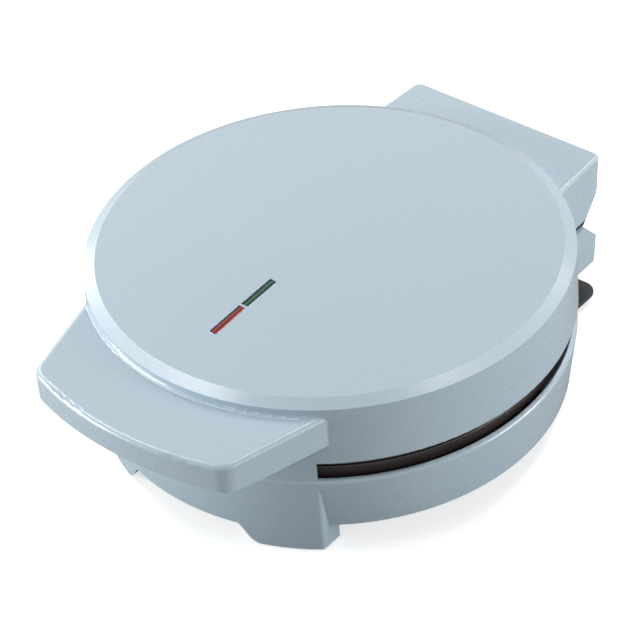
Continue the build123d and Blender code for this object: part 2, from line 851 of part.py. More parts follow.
with BuildPart() as lower_block_form:
    with BuildSketch(side):
        lower_block_section()
    extrude(amount=lower_block_half_width, both=True)
    back_edges = lower_block_form.edges().filter_by(lambda e: e.center().Y > body_y + lower_cavity_back
                                                    and abs(abs(e.center().X) - lower_block_half_width) < 0.01)
    fillet(back_edges, block_edge_round)

with BuildPart() as base_housing:
    with BuildSketch(front):
        outer_bowl_section()
    revolve(axis=body_axis)
    add(front_form.part)
    add(rear_legs_form.part)
    add(lower_block_form.part)
    with BuildSketch(front):
        bowl_section(wall, floor_top, rim_height)
    revolve(axis=body_axis, mode=Mode.SUBTRACT)
    with BuildSketch(level(rim_height)):
        Circle(rim_radius - wall)
    extrude(amount=hinge_height - rim_height, mode=Mode.SUBTRACT)
    with BuildSketch(level(floor_top)):
        front_band(panel_radius - wall, panel_half_width - wall, panel_radius - floor_radius)
    extrude(amount=rim_height - panel_ledge - floor_top, mode=Mode.SUBTRACT)
    with BuildSketch(level(block_floor_top)):
        with Locations((0, lower_cavity_back / 2)):
            Rectangle(2 * lower_cavity_half_width, lower_cavity_back)
        Circle(rim_radius, mode=Mode.SUBTRACT)
    extrude(amount=hinge_height - block_floor_top, mode=Mode.SUBTRACT)
    with BuildSketch(hinge_line):
        Circle(barrel_room)
    extrude(amount=lower_cavity_half_width, both=True, mode=Mode.SUBTRACT)
    with Locations((0, body_y + rim_radius - (bowl_draft + wall) / 2, block_floor_top)):
        Box(2 * wire_window_half_width, bowl_draft + 3 * wall, wire_window_height,
            align=(Align.CENTER, Align.CENTER, Align.MIN), mode=Mode.SUBTRACT)
    with BuildSketch(level(floor_top - wall / 2)):
        with Locations(*boss_points):
            Circle(boss_radius)
    extrude(amount=reflector_bottom - floor_top + wall / 2)
    with BuildSketch(level(block_floor_top - wall / 2)):
        with Locations(*ledge_post_points):
            Circle(ledge_post_radius)
    extrude(amount=lower_block_top - cover_thickness - block_floor_top + wall / 2)
    with BuildSketch(level(wrap_bottom + wrap_thickness)):
        with Locations(*wrap_post_points):
            Circle(wrap_post_radius)
    extrude(amount=floor_top - wrap_bottom - wrap_thickness)
    with Locations(*spots(boss_points, reflector_bottom)):
        pilot_hole(screw_radius + screw_clearance, screw_grip + small_screw_tip_room)
    with Locations(*spots(ledge_post_points, lower_block_top)):
        pilot_hole(small_screw_radius + screw_clearance, small_screw_length + small_screw_tip_room)
    with Locations(*spots(wrap_post_points, wrap_bottom, True)):
        pilot_hole(small_screw_radius + screw_clearance, small_screw_length + small_screw_tip_room)
    with Locations(*spots(base_web_points, lower_block_bottom, True)):
        small_screw_hole(2 * wall)
    with Locations(*spots([(0, element_end)], floor_top)):
        pilot_hole(small_screw_radius + screw_clearance, wall / 2)
    with BuildSketch(level(lower_block_bottom)):
        with Locations((0, inlet_reach)):
            Circle(inlet_radius)
    extrude(amount=wall, mode=Mode.SUBTRACT)
    with BuildSketch(level(leg_bottom)):
        with Locations(*leg_points):
            Rectangle(pad_width + 2 * pad_clearance, pad_depth + 2 * pad_clearance)
    extrude(amount=pad_height - leg_bottom, mode=Mode.SUBTRACT)
    with BuildSketch(level(pad_height + wall)):
        with Locations(*leg_points):
            Rectangle(panel_half_width - leg_inner - 2 * wall, leg_depth - 2 * wall)
    extrude(amount=floor_top - pad_height - wall, mode=Mode.SUBTRACT)

finish(base_housing.part, "base_housing")

# Rubber foot pads in their recesses under the legs
with BuildPart() as foot_pads:
    with BuildSketch(level(0)):
        with Locations(*leg_points):
            RectangleRounded(pad_width, pad_depth, pad_round)
    extrude(amount=pad_height)

finish(foot_pads.part, "foot_pads")

# Cover over the lower half of the rear block, with a trough for the hinge barrel
with BuildPart() as base_rear_cover:
    cover_drop = lower_block_top - hinge_height
    with BuildSketch(hinge_line):
        Circle(shield_radius)
        with Locations((-shield_radius, cover_drop)):
            Rectangle(2 * shield_radius, cover_thickness, align=(Align.CENTER, Align.MAX))
        with Locations((0, cover_drop)):
            Rectangle(2 * hinge_reach, hinge_height, align=(Align.CENTER, Align.MAX),
                      mode=Mode.INTERSECT)
        with Locations((lower_cavity_back - hinge_reach - cover_clearance, 0)):
            Rectangle(2 * hinge_reach, 2 * crown_height, align=(Align.MAX, Align.CENTER),
                      mode=Mode.INTERSECT)
        Circle(barrel_room, mode=Mode.SUBTRACT)
    extrude(amount=lower_cavity_half_width - cover_clearance, both=True)
    with BuildSketch(level(block_floor_top)):
        Circle(rim_radius + cover_clearance)
    extrude(amount=rim_height, mode=Mode.SUBTRACT)
    with BuildSketch(level(block_floor_top)):
        with Locations(*base_web_points):
            Rectangle(base_knuckle_outer - base_knuckle_inner + 2 * web_clearance,
                      base_web_depth + 2 * web_clearance)
        with Locations((0, hinge_reach - barrel_radius / 2)):
            Rectangle(2 * wire_window_half_width, barrel_radius)
    extrude(amount=rim_height, mode=Mode.SUBTRACT)
    with Locations(*spots(ledge_post_points, lower_block_top)):
        small_screw_hole(2 * cover_thickness)

finish(base_rear_cover.part, "base_rear_cover")

# Cover under the upper half of the rear block, with its trough and the sloping back
with BuildPart() as lid_rear_cover:
    cover_rise = upper_block_bottom - hinge_height
    slope_foot = (upper_slope_start - hinge_reach, cover_rise)
    slope_head = (upper_block_back - upper_slope_inset - hinge_reach, upper_slope_top - hinge_height)
    slope_run = slope_head[0] - slope_foot[0]
    slope_climb = slope_head[1] - slope_foot[1]
    slope_length = sqrt(slope_run**2 + slope_climb**2)
    inward = (-slope_climb / slope_length * cover_thickness, slope_run / slope_length * cover_thickness)
    with BuildSketch(hinge_line):
        Circle(shield_radius)
        with Locations((-shield_radius, cover_rise)):
            Rectangle(3 * shield_radius, cover_thickness, align=(Align.CENTER, Align.MIN))
        with BuildLine() as slope_outline:
            Polyline(
                slope_foot,
                slope_head,
                (slope_head[0] + inward[0], slope_head[1] + inward[1]),
                (slope_foot[0] + inward[0], slope_foot[1] + inward[1]),
                close=True,
            )
        make_face(slope_outline.edges())
        with BuildLine() as room_outline:
            Polyline(
                (-hinge_reach, cover_rise),
                slope_foot,
                slope_head,
                (slope_head[0], crown_height),
                (-hinge_reach, crown_height),
                close=True,
            )
        make_face(room_outline.edges(), mode=Mode.INTERSECT)
        with Locations((upper_cavity_back - hinge_reach - cover_clearance, 0)):
            Rectangle(2 * hinge_reach, 2 * crown_height, align=(Align.MAX, Align.CENTER),
                      mode=Mode.INTERSECT)
        Circle(barrel_room, mode=Mode.SUBTRACT)
    extrude(amount=upper_cavity_half_width - cover_clearance, both=True)
    with BuildSketch(level(upper_block_bottom - cut_margin)):
        Circle(lid_radius + cover_clearance)
    extrude(amount=block_roof - upper_block_bottom, mode=Mode.SUBTRACT)
    with BuildSketch(level(upper_block_bottom - cut_margin)):
        with Locations(*lid_web_points):
            Rectangle(lid_knuckle_outer - lid_knuckle_inner + 2 * web_clearance,
                      lid_web_depth + 2 * web_clearance)
        with Locations((0, hinge_reach)):
            Rectangle(2 * wire_window_half_width, 2 * wire_window_half_width)
    extrude(amount=block_roof - upper_block_bottom, mode=Mode.SUBTRACT)
    with Locations(*spots(ledge_post_points, upper_block_bottom, True)):
        small_screw_hole(2 * cover_thickness)

finish(lid_rear_cover.part, "lid_rear_cover")

with BuildPart() as base_rear_cover_screws:
    with Locations(*spots(ledge_post_points, lower_block_top)):
        small_screw()

finish(base_rear_cover_screws.part, "base_rear_cover_screws")

with BuildPart() as lid_rear_cover_screws:
    with Locations(*spots(ledge_post_points, upper_block_bottom, True)):
        small_screw()

finish(lid_rear_cover_screws.part, "lid_rear_cover_screws")

# Base half of the hinge: a knuckle on a footed web at each side
with BuildPart() as base_hinge_knuckles:
    web_foot = block_floor_top - hinge_height
    with BuildSketch(hinge_line.offset(base_knuckle_inner)):
        Circle(barrel_radius)
        with Locations((-web_front, web_foot)):
            Rectangle(base_web_depth, -web_foot, align=(Align.MIN, Align.MIN))
        with Locations((-web_front - hinge_flange, web_foot)):
            Rectangle(base_web_depth + hinge_flange, hinge_flange, align=(Align.MIN, Align.MIN))
        Circle(pin_radius + pin_seat_clearance, mode=Mode.SUBTRACT)
    extrude(amount=base_knuckle_outer - base_knuckle_inner)
    with Locations(*spots(base_web_points[1:], block_floor_top, True)):
        pilot_hole(small_screw_radius + screw_clearance, small_screw_length)
    mirror(about=Plane.YZ)

finish(base_hinge_knuckles.part, "base_hinge_knuckles")

with BuildPart() as base_hinge_screws:
    with Locations(*spots(base_web_points, lower_block_bottom, True)):
        small_screw()

finish(base_hinge_screws.part, "base_hinge_screws")

# Lid half of the hinge: two knuckles on webs under one flange
with BuildPart() as lid_hinge_bracket:
    with BuildSketch(hinge_line.offset(lid_knuckle_inner)):
        Circle(barrel_radius)
        with Locations((-web_front, 0)):
            Rectangle(lid_web_depth, hinge_flange_rise, align=(Align.MIN, Align.MIN))
        Circle(pin_radius + pin_clearance, mode=Mode.SUBTRACT)
    extrude(amount=lid_knuckle_outer - lid_knuckle_inner)
    mirror(about=Plane.YZ)
    with BuildSketch(level(hinge_flange_height - hinge_flange)):
        with Locations((0, hinge_reach - hinge_flange_front)):
            Rectangle(2 * hinge_flange_half_width, hinge_flange_front + hinge_flange_back,
                      align=(Align.CENTER, Align.MIN))
        with Locations((0, hinge_reach - web_front)):
            Rectangle(2 * (lid_knuckle_inner - hinge_notch_border), web_front + hinge_flange_back,
                      align=(Align.CENTER, Align.MIN), mode=Mode.SUBTRACT)
    extrude(amount=hinge_flange)
    with Locations(*spots(hinge_post_points, hinge_flange_height - hinge_flange, True)):
        small_screw_hole(2 * hinge_flange)

finish(lid_hinge_bracket.part, "lid_hinge_bracket")

with BuildPart() as lid_hinge_screws:
    with Locations(*spots(hinge_post_points, hinge_flange_height - hinge_flange, True)):
        small_screw()

finish(lid_hinge_screws.part, "lid_hinge_screws")

with BuildPart() as hinge_pins:
    with BuildSketch(hinge_line.offset(lid_knuckle_inner)):
        Circle(pin_radius)
    extrude(amount=base_knuckle_outer - lid_knuckle_inner - knuckle_gap)
    mirror(about=Plane.YZ)

finish(hinge_pins.part, "hinge_pins")

# Lower cooking plate: a casting with a ring groove for each donut and a skirt round its edge
with BuildPart() as lower_cooking_plate:
    with BuildSketch(level(plate_face - plate_thickness)):
        Circle(plate_radius)
    extrude(amount=plate_thickness)
    with BuildSketch(level(plate_face - plate_skirt)):
        Circle(plate_radius)
        Circle(plate_radius - plate_skirt_thickness, mode=Mode.SUBTRACT)
    extrude(amount=plate_skirt)
    with Locations(*spots(ring_points, plate_face)):
        Torus(ring_radius, ring_groove + ring_wall)
    with BuildSketch(level(plate_face)):
        Circle(plate_radius)
    extrude(amount=2 * ring_groove, mode=Mode.SUBTRACT)
    with Locations(*spots(ring_points, plate_face)):
        Torus(ring_radius, ring_groove, mode=Mode.SUBTRACT)
    fillet(lower_cooking_plate.faces().sort_by(Axis.Z)[-1].edges().filter_by(
        lambda e: e.radius < ring_pitch), ring_lip_round)
    fillet(lower_cooking_plate.edges().filter_by(
        lambda e: e.geom_type == GeomType.CIRCLE and abs(e.radius - plate_radius) < 0.01), plate_edge_round)
    with BuildSketch(level(plate_boss_bottom)):
        with Locations(*boss_points):
            Circle(boss_radius)
    extrude(amount=plate_face - plate_boss_bottom - plate_thickness / 2)
    with BuildSketch(level(bracket_bottom + bracket_thickness)):
        with Locations(*bracket_points):
            Circle(bracket_boss_radius)
    extrude(amount=plate_face - bracket_bottom - bracket_thickness - plate_thickness / 2)
    with Locations(*spots(bracket_points, bracket_bottom, True)):
        pilot_hole(small_screw_radius + screw_clearance, small_screw_length)
    with Locations(*spots(boss_points, plate_face)):
        CounterSinkHole(screw_radius + screw_clearance, screw_head_radius + screw_clearance,
                        depth=plate_boss_drop + cut_margin, counter_sink_angle=small_screw_sink_angle)

finish(lower_cooking_plate.part, "lower_cooking_plate")

with BuildPart() as upper_cooking_plate:
    mirror(lower_cooking_plate.part, about=plate_mirror)

finish(upper_cooking_plate.part, "upper_cooking_plate")

# Screws that hold the plates and reflectors to the bosses
with BuildPart() as lower_plate_screws:
    with Locations(*spots(boss_points, plate_face)):
        countersunk_screw(screw_radius, screw_head_radius, screw_head_depth, plate_screw_length)

finish(lower_plate_screws.part, "lower_plate_screws")

with BuildPart() as upper_plate_screws:
    mirror(lower_plate_screws.part, about=plate_mirror)

finish(upper_plate_screws.part, "upper_plate_screws")

# Heat reflectors: thin pans clamped between the plates' bosses and the housings' bosses
with BuildPart() as lower_reflector:
    with BuildSketch(level(reflector_bottom)):
        Circle(reflector_radius)
    extrude(amount=reflector_wall)
    with BuildSketch(level(plate_boss_bottom)):
        Circle(reflector_radius - reflector_thickness)
    extrude(amount=reflector_wall, mode=Mode.SUBTRACT)
    with BuildSketch(level(reflector_bottom)):
        with Locations(*boss_points):
            Circle(screw_radius + screw_clearance)
        Circle(reflector_hole_radius)
        with Locations((0, element_end + reflector_notch_start)):
            Rectangle(2 * reflector_notch_half_width, reflector_radius, align=(Align.CENTER, Align.MIN))
    extrude(amount=reflector_wall, mode=Mode.SUBTRACT)

finish(lower_reflector.part, "lower_reflector")

with BuildPart() as upper_reflector:
    mirror(lower_reflector.part, about=plate_mirror)

finish(upper_reflector.part, "upper_reflector")

# Heating elements: a tube in an open ring, with its cold ends turned out to the rear
with BuildPart() as lower_heating_element:
    with BuildLine(level(element_height)) as element_path:
        bend_start = sqrt(ring_pitch**2 - element_half_gap**2)
        half_ring = ThreePointArc(
            (element_half_gap, bend_start), (0, -ring_pitch), (-element_half_gap, bend_start)
        )
        Line((element_half_gap, element_end), half_ring @ 0)
        Line(half_ring @ 1, (-element_half_gap, element_end))
        fillet(element_path.vertices().sort_by(Axis.Y)[:2], element_bend)
    with BuildSketch(facing_back(element_half_gap, element_end, element_height)):
        Circle(element_radius)
    sweep(path=element_path.wire())
    with BuildSketch(facing_back(0, element_end, element_height)):
        with Locations((-element_half_gap, 0), (element_half_gap, 0)):
            Circle(element_pin_radius)
    extrude(amount=element_pin_length)

finish(lower_heating_element.part, "lower_heating_element")

with BuildPart() as upper_heating_element:
    mirror(lower_heating_element.part, about=plate_mirror)

finish(upper_heating_element.part, "upper_heating_element")

# Supports on the reflector that hold the element up against the plate's rings
with BuildPart() as lower_element_supports:
    with BuildSketch(level(plate_boss_bottom)):
        with PolarLocations(ring_pitch, boss_count, boss_start_angle):
            Rectangle(support_depth, support_width)
    extrude(amount=element_rise + support_grip)
    with Locations((0, body_y, element_height)):
        Torus(ring_pitch, element_radius + element_clearance, mode=Mode.SUBTRACT)

finish(lower_element_supports.part, "lower_element_supports")

with BuildPart() as upper_element_supports:
    mirror(lower_element_supports.part, about=plate_mirror)

finish(upper_element_supports.part, "upper_element_supports")

# Thermostat on its bracket under the middle ring of the lower plate
with BuildPart() as thermostat_bracket:
    with BuildSketch(level(bracket_bottom)):
        SlotCenterToCenter(2 * bracket_boss_reach, bracket_width, rotation=90)
        with Locations(*bracket_points):
            Circle(small_screw_radius + screw_clearance, mode=Mode.SUBTRACT)
    extrude(amount=bracket_thickness)

finish(thermostat_bracket.part, "thermostat_bracket")

with BuildPart() as bracket_screws:
    with Locations(*spots(bracket_points, bracket_bottom, True)):
        pan_screw(small_screw_grip + bracket_thickness)

finish(bracket_screws.part, "bracket_screws")

with BuildPart() as thermostat:
    with BuildSketch(level(thermostat_bottom)):
        Circle(thermostat_radius)
    extrude(amount=thermostat_height)
    with BuildSketch(level(thermostat_bottom)):
        with Locations((-thermostat_half_pitch, 0), (thermostat_half_pitch, 0)):
            Rectangle(bracket_thickness, thermostat_blade_width)
    extrude(amount=-thermostat_blade)

finish(thermostat.part, "thermostat")

# Terminal block on the floor of the base, under the rear of the plate
with BuildPart() as terminal_block:
    with BuildSketch(level(floor_top)):
        with Locations((0, element_end)):
            RectangleRounded(2 * terminal_half_width, terminal_depth, terminal_round)
    extrude(amount=terminal_height)
    with BuildSketch(facing_back(0, terminal_front, wire_height)):
        with Locations((-element_half_gap, 0), (-thermostat_half_pitch, 0),
                       (thermostat_half_pitch, 0), (element_half_gap, 0)):
            Circle(terminal_bore)
    extrude(amount=terminal_depth, mode=Mode.SUBTRACT)
    with Locations(*spots([(0, element_end)], floor_top + terminal_height)):
        pilot_hole(small_screw_radius + screw_clearance, terminal_height)

finish(terminal_block.part, "terminal_block")

with BuildPart() as terminal_screw:
    with Locations(*spots([(0, element_end)], floor_top + terminal_height)):
        pan_screw(terminal_height + wall / 4)

finish(terminal_screw.part, "terminal_screw")


def wire(points):
    """Round wire through points given by side, reach and height, with bent corners."""
    corners = [(x, body_y + y, z) for x, y, z in points]
    with BuildLine() as route:
        if len(corners) > 2:
            FilletPolyline(*corners, radius=wire_bend)
        else:
            Line(*corners)
    with BuildSketch(Plane(origin=route.wire() @ 0, z_dir=route.wire() % 0)) as section:
        Circle(wire_radius)
    sweep(section.sketch, path=route.wire())


# Wires inside the base
with BuildPart() as base_wiring:
    for wire_side in (-1, 1):
        wire([
            (wire_side * element_half_gap, pin_end + wire_end_gap, element_height),
            (wire_side * element_half_gap, wire_turn, element_height),
            (wire_side * element_half_gap, wire_turn, wire_height),
            (wire_side * element_half_gap, terminal_back - wire_insertion, wire_height),
        ])
        wire([
            (wire_side * thermostat_half_pitch, terminal_front + wire_insertion, wire_height),
            (wire_side * thermostat_half_pitch, 0, wire_height),
            (wire_side * thermostat_half_pitch, 0, thermostat_bottom - thermostat_blade - wire_end_gap),
        ])
        wire([
            (wire_side * base_wire_half_pitch, terminal_back - wire_insertion, wire_height),
            (wire_side * base_wire_half_pitch, terminal_back + wire_run_out, wire_height),
            (wire_side * base_wire_half_pitch, hinge_reach - wire_ahead, wire_height + wire_climb),
            (wire_side * base_wire_half_pitch, hinge_reach - wire_ahead, hinge_height - wire_hinge_drop),
        ])

finish(base_wiring.part, "base_wiring")

# Thermal fuse in its sleeve on one of the thermostat's wires
with BuildPart() as thermal_fuse:
    with BuildSketch(facing_back(thermostat_half_pitch, fuse_reach, wire_height)):
        Circle(fuse_radius)
        Circle(wire_radius + fuse_clearance, mode=Mode.SUBTRACT)
    extrude(amount=fuse_length)

finish(thermal_fuse.part, "thermal_fuse")

# Wires inside the lid, from the hinge to the element and to the lamps
with BuildPart() as lid_wiring:
    for wire_side in (-1, 1):
        wire([
            (wire_side * lid_wire_half_pitch, hinge_reach - lid_wire_ahead, hinge_height + wire_hinge_rise),
            (wire_side * lid_wire_half_pitch, hinge_reach - lid_wire_ahead, upper_element_height),
            (wire_side * lid_wire_half_pitch, wire_turn + 2 * lid_wire_step, upper_element_height),
            (wire_side * element_half_gap, wire_turn, upper_element_height),
            (wire_side * element_half_gap, pin_end + wire_end_gap, upper_element_height),
        ])
        wire([
            (wire_side * lamp_wire_half_pitch, hinge_reach - lid_wire_ahead, hinge_height + wire_hinge_rise),
            (wire_side * lamp_wire_half_pitch, hinge_reach - lid_wire_ahead, upper_element_height),
            (wire_side * lamp_wire_half_pitch, wire_turn + lid_wire_step, upper_element_height),
            (wire_side * lamp_wire_half_pitch, wire_turn + lid_wire_step, lamp_wire_height),
            (wire_side * lamp_wire_half_pitch, -lamp_middle, lamp_wire_height),
        ])

finish(lid_wiring.part, "lid_wiring")

# Cord wrap plate under the rear of the base
with BuildPart() as cord_wrap_plate:
    with BuildSketch(level(wrap_bottom)):
        with Locations((0, (wrap_front + wrap_back) / 2)):
            RectangleRounded(2 * wrap_half_width, wrap_back - wrap_front, wrap_corner)
        with Locations((0, wrap_tongue_front)):
            Rectangle(2 * wrap_tongue_half_width, wrap_front + wrap_corner - wrap_tongue_front,
                      align=(Align.CENTER, Align.MIN))
        with Locations((0, inlet_reach)):
            Circle(cord_notch_radius, mode=Mode.SUBTRACT)
            Rectangle(2 * cord_notch_radius, wrap_back - inlet_reach + cut_margin,
                      align=(Align.CENTER, Align.MIN), mode=Mode.SUBTRACT)
    extrude(amount=wrap_thickness)
    fillet(cord_wrap_plate.faces().sort_by(Axis.Z)[-1].edges(), wrap_thickness / 4)
    with Locations(*spots(wrap_post_points, wrap_bottom, True)):
        small_screw_hole(2 * wrap_thickness)

finish(cord_wrap_plate.part, "cord_wrap_plate")

with BuildPart() as wrap_plate_screws:
    with Locations(*spots(wrap_post_points, wrap_bottom, True)):
        small_screw()

finish(wrap_plate_screws.part, "wrap_plate_screws")

# Bushing of the cord inlet, in the floor of the rear block
with BuildPart() as cord_inlet_bushing:
    with BuildSketch(level(lower_block_bottom - bushing_flange)):
        with Locations((0, inlet_reach)):
            Circle(inlet_radius + bushing_collar)
    extrude(amount=bushing_flange)
    with BuildSketch(level(lower_block_bottom)):
        with Locations((0, inlet_reach)):
            Circle(inlet_radius - bushing_clearance)
    extrude(amount=wall)
    with BuildSketch(level(block_floor_top)):
        with Locations((0, inlet_reach)):
            Circle(inlet_radius + bushing_lip)
    extrude(amount=bushing_flange)
    with BuildSketch(level(lower_block_bottom - bushing_flange)):
        with Locations((0, inlet_reach)):
            Circle(bushing_bore)
    extrude(amount=wall + 2 * bushing_flange, mode=Mode.SUBTRACT)

finish(cord_inlet_bushing.part, "cord_inlet_bushing")
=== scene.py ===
import json
import math

import bpy
from mathutils import Matrix, Vector


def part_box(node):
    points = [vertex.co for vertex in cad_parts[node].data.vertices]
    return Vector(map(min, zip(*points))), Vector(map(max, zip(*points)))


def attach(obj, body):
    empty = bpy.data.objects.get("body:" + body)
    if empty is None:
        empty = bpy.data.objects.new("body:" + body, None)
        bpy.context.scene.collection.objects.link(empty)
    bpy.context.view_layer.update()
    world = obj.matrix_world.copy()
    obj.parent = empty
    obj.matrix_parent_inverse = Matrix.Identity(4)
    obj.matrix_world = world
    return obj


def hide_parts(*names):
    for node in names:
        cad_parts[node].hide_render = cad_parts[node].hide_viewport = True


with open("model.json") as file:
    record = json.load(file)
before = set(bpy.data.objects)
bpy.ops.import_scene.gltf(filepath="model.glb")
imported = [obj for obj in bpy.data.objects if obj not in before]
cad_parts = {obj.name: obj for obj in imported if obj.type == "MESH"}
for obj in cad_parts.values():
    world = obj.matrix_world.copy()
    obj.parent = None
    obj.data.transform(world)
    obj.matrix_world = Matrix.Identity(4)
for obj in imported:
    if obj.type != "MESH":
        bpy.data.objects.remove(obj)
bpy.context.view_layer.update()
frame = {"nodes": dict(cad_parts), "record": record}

# Sizes and places of the real thing, in metres
MM = 0.001
BODY_Y = 4.8 * MM
CROWN_HEIGHT = 85.4 * MM
CROWN_RISE = 3.9 * MM
CROWN_RADIUS = 102.2 * MM
RIM_CENTRE = Vector((0, BODY_Y, 50.3 * MM))

# Indicator lenses, and the colours across them from the left side to the right: tint, light streaks
# that are painted reflections, dark edges that are painted shadow of the slot
LENS_HALF_WIDTH = 1.8 * MM
LENS_HALF_LENGTH = 9.7 * MM
LENS_CORNER = 0.7 * MM
LEAST_CORNER = 0.1 * MM
CORNER_STEPS = 5
LENS_REACHES = {"ready_lens": 46.8 * MM, "power_lens": 67.4 * MM}
LENS_SLOTS = {"ready_lens": "green_lens", "power_lens": "red_lens"}
GREEN_LENS_WITH_PAINTED_LIGHT = (
    (0.0, (0.002, 0.008, 0.006)), (0.16, (0.003, 0.022, 0.015)), (0.36, (0.006, 0.06, 0.035)),
    (0.45, (0.12, 0.32, 0.22)), (0.54, (0.015, 0.12, 0.065)), (0.84, (0.003, 0.03, 0.018)),
    (1.0, (0.002, 0.008, 0.005)),
)
RED_LENS_WITH_PAINTED_LIGHT = (
    (0.0, (0.012, 0.001, 0.001)), (0.13, (0.03, 0.002, 0.002)), (0.24, (0.3, 0.03, 0.028)),
    (0.34, (0.52, 0.14, 0.12)), (0.44, (0.26, 0.01, 0.01)), (0.70, (0.22, 0.006, 0.005)),
    (0.80, (0.5, 0.09, 0.08)), (0.92, (0.7, 0.36, 0.33)), (1.0, (0.2, 0.03, 0.03)),
)
BAND_WAVER = 0.05

# A lens's side from the flange up: how far each ring grows past the plan, and its drop below the crown
FLANGE = 1.6 * MM
SKIN = 2.45 * MM
LENS_EDGE = (
    (FLANGE, SKIN), (0, SKIN), (0, 0.75 * MM), (-0.08 * MM, 0.56 * MM), (-0.25 * MM, 0.42 * MM),
    (-0.6 * MM, 0.32 * MM), (-1.1 * MM, 0.27 * MM), (-1.6 * MM, 0.25 * MM),
)

# Bead round each lens slot
BEAD_GAP = 0.3 * MM
BEAD_RADIUS = 0.17 * MM
BEAD_SINK = 0.05 * MM
BEAD_SIDES = 8

# Part of a noise value's range that the materials use
NOISE_LOW = 0.3
NOISE_HIGH = 0.7

# How much a surface's roughness varies with its grain
ROUGHNESS_SPREAD = 0.04
COAT_ROUGHNESS = 0.2

# Camera, solved from the photograph
LENS = 150.6
SENSOR = 36.0
CLIP_END = 20
CAMERA_DISTANCE = 1.1822
CAMERA_RIGHT = Vector((0.7768, 0.6270, -0.0604))
CAMERA_UP = Vector((-0.3580, 0.5184, 0.7767))
CAMERA_BACK = Vector((0.5182, -0.5815, 0.6271))
CAMERA_SHIFT = (-0.0207, -0.0344)

# Softboxes: name, place, direction of the long side, size, watts
LIGHT_TARGET = Vector((0, 0, 0.04))
SOFTBOXES = (
    ("left", (-1.061, 0.0, 1.111), (-0.56, 0.5, -0.66), (1.7, 0.3), 8.5),
    ("right", (0.149, 0.847, 1.279), (-0.145, 0.575, -0.38), (1.3, 0.3), 6.5),
    ("leftlow", (-1.199, -1.006, 0.383), (0.643, -0.766, 0), (0.9, 0.5), 20.0),
    ("rightlow", (1.418, 0.661, 0.383), (0.42, -0.9, 0), (0.9, 0.5), 14.0),
)
WORLD_LIGHT = 0.21
WORLD_SEEN = 1.0

# Floor: its place, its grey for the light it throws back and for the camera, and its glow for the
# camera near the object and far from it
FLOOR_SIZE = 8
FLOOR_LEVEL = -0.2 * MM
FLOOR_ROUGHNESS = 0.9
FLOOR_SPECULAR = 0.1
FLOOR_LIT = 0.5
FLOOR_SEEN = 0.9
GLOW_NEAR, GLOW_FAR = 0.6, 1.0
GLOW_START, GLOW_STOP = 0.3, 0.9


# Camera

def aim_camera():
    """Camera at the photograph's place, with its slight roll and off-centre framing."""
    data = bpy.data.cameras.new("camera")
    data.lens = LENS
    data.sensor_width = SENSOR
    data.shift_x, data.shift_y = CAMERA_SHIFT
    data.clip_end = CLIP_END
    camera = bpy.data.objects.new("camera", data)
    bpy.context.scene.collection.objects.link(camera)
    place = RIM_CENTRE + CAMERA_BACK * CAMERA_DISTANCE
    turn = Matrix((CAMERA_RIGHT, CAMERA_UP, CAMERA_BACK)).transposed().to_4x4()
    camera.matrix_world = Matrix.Translation(place) @ turn
    bpy.context.scene.camera = camera


# Materials

def new_material(name):
    """New material: the material, its node tree and its Principled shader."""
    material = bpy.data.materials.new(name)
    material.use_nodes = True
    tree = material.node_tree
    return material, tree, tree.nodes["Principled BSDF"]


def combined(tree, operation, first, second):
    """Two values joined by a math operation."""
    node = tree.nodes.new("ShaderNodeMath")
    node.operation = operation
    tree.links.new(first, node.inputs[0])
    tree.links.new(second, node.inputs[1])
    return node.outputs["Value"]


def noise(tree, scale, detail, stretch=(1, 1, 1)):
    """Noise texture in the object's own coordinates, stretched along its axes."""
    place = tree.nodes.new("ShaderNodeTexCoord")
    mapping = tree.nodes.new("ShaderNodeMapping")
    mapping.inputs["Scale"].default_value = stretch
    texture = tree.nodes.new("ShaderNodeTexNoise")
    texture.inputs["Scale"].default_value = scale
    texture.inputs["Detail"].default_value = detail
    tree.links.new(place.outputs["Object"], mapping.inputs["Vector"])
    tree.links.new(mapping.outputs["Vector"], texture.inputs["Vector"])
    return texture.outputs["Fac"]


def spread(tree, value, low, high, start=NOISE_LOW, stop=NOISE_HIGH):
    """Map a value, such as noise, onto a range."""
    mapped = tree.nodes.new("ShaderNodeMapRange")
    mapped.inputs["From Min"].default_value = start
    mapped.inputs["From Max"].default_value = stop
    mapped.inputs["To Min"].default_value = low
    mapped.inputs["To Max"].default_value = high
    tree.links.new(value, mapped.inputs["Value"])
    return mapped.outputs["Result"]


def ramped(tree, value, bands):
    """Colour that runs through bands of position and colour with a value."""
    ramp = tree.nodes.new("ShaderNodeValToRGB")
    stops = ramp.color_ramp.elements
    while len(stops) < len(bands):
        stops.new(0.5)
    for stop, (position, colour) in zip(stops, bands):
        stop.position = position
        stop.color = (*colour, 1)
    tree.links.new(value, ramp.inputs["Fac"])
    return ramp.outputs["Color"]


def tinted(tree, value, dark, light):
    """Colour that runs from dark to light with a noise value."""
    return ramped(tree, value, ((NOISE_LOW, dark), (NOISE_HIGH, light)))


def bumped(tree, shader, value, depth):
    """Raise the surface by a noise value, by depth in metres."""
    bump = tree.nodes.new("ShaderNodeBump")
    bump.inputs["Strength"].default_value = 1.0
    bump.inputs["Distance"].default_value = depth
    tree.links.new(value, bump.inputs["Height"])
    tree.links.new(bump.outputs["Normal"], shader.inputs["Normal"])


def shade(colour, factor):
    """A colour made darker or lighter."""
    return tuple(min(1.0, channel * factor) for channel in colour)


